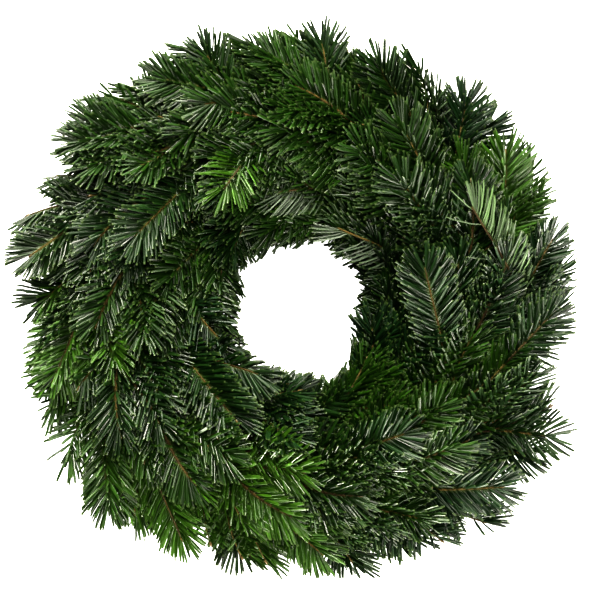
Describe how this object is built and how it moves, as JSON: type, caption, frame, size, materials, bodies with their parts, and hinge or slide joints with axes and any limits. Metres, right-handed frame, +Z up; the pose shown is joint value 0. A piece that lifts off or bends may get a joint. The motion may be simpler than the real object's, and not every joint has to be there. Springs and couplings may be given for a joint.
{
  "type": "fresh evergreen wreath",
  "caption": "Round wreath of fresh fir sprigs bound onto a straw ring with wire, with an open middle, lying face up on its flat back.",
  "frame": {"origin": "on the surface that the wreath lies on, under the middle of its bounding box", "axes": "+Z up out of the wreath's front face, and +Y to the top of the wreath as the picture shows it"},
  "size_m": [0.3802, 0.3714, 0.0896],
  "materials": {
    "straw": "matt golden straw stalks pressed into a ring",
    "wire": "dark green lacquered binding wire",
    "fir": "waxy dark green needles, pale underneath, on olive-brown bark"
  },
  "bodies": {
    "root": {"straw_ring": "straw", "binding_wire": "wire", "side_sprig_01": "fir", "side_sprig_02": "fir", "side_sprig_03": "fir", "side_sprig_04": "fir", "side_sprig_05": "fir", "side_sprig_06": "fir", "side_sprig_07": "fir", "side_sprig_08": "fir", "side_sprig_09": "fir", "side_sprig_10": "fir", "side_sprig_11": "fir", "side_sprig_12": "fir", "side_sprig_13": "fir", "side_sprig_14": "fir", "outer_sprig_01": "fir", "outer_sprig_02": "fir", "outer_sprig_03": "fir", "outer_sprig_04": "fir", "outer_sprig_05": "fir", "outer_sprig_06": "fir", "outer_sprig_07": "fir", "outer_sprig_08": "fir", "outer_sprig_09": "fir", "outer_sprig_10": "fir", "outer_sprig_11": "fir", "outer_sprig_12": "fir", "outer_sprig_13": "fir", "outer_sprig_14": "fir", "face_sprig_01": "fir", "face_sprig_02": "fir", "face_sprig_03": "fir", "face_sprig_04": "fir", "face_sprig_05": "fir", "face_sprig_06": "fir", "face_sprig_07": "fir", "face_sprig_08": "fir", "face_sprig_09": "fir", "face_sprig_10": "fir", "face_sprig_11": "fir", "face_sprig_12": "fir", "face_sprig_13": "fir", "face_sprig_14": "fir", "inner_sprig_01": "fir", "inner_sprig_02": "fir", "inner_sprig_03": "fir", "inner_sprig_04": "fir", "inner_sprig_05": "fir", "inner_sprig_06": "fir", "inner_sprig_07": "fir", "inner_sprig_08": "fir", "inner_sprig_09": "fir", "inner_sprig_10": "fir", "inner_sprig_11": "fir", "inner_sprig_12": "fir", "inner_sprig_13": "fir", "inner_sprig_14": "fir"}
  },
  "joints": []
}
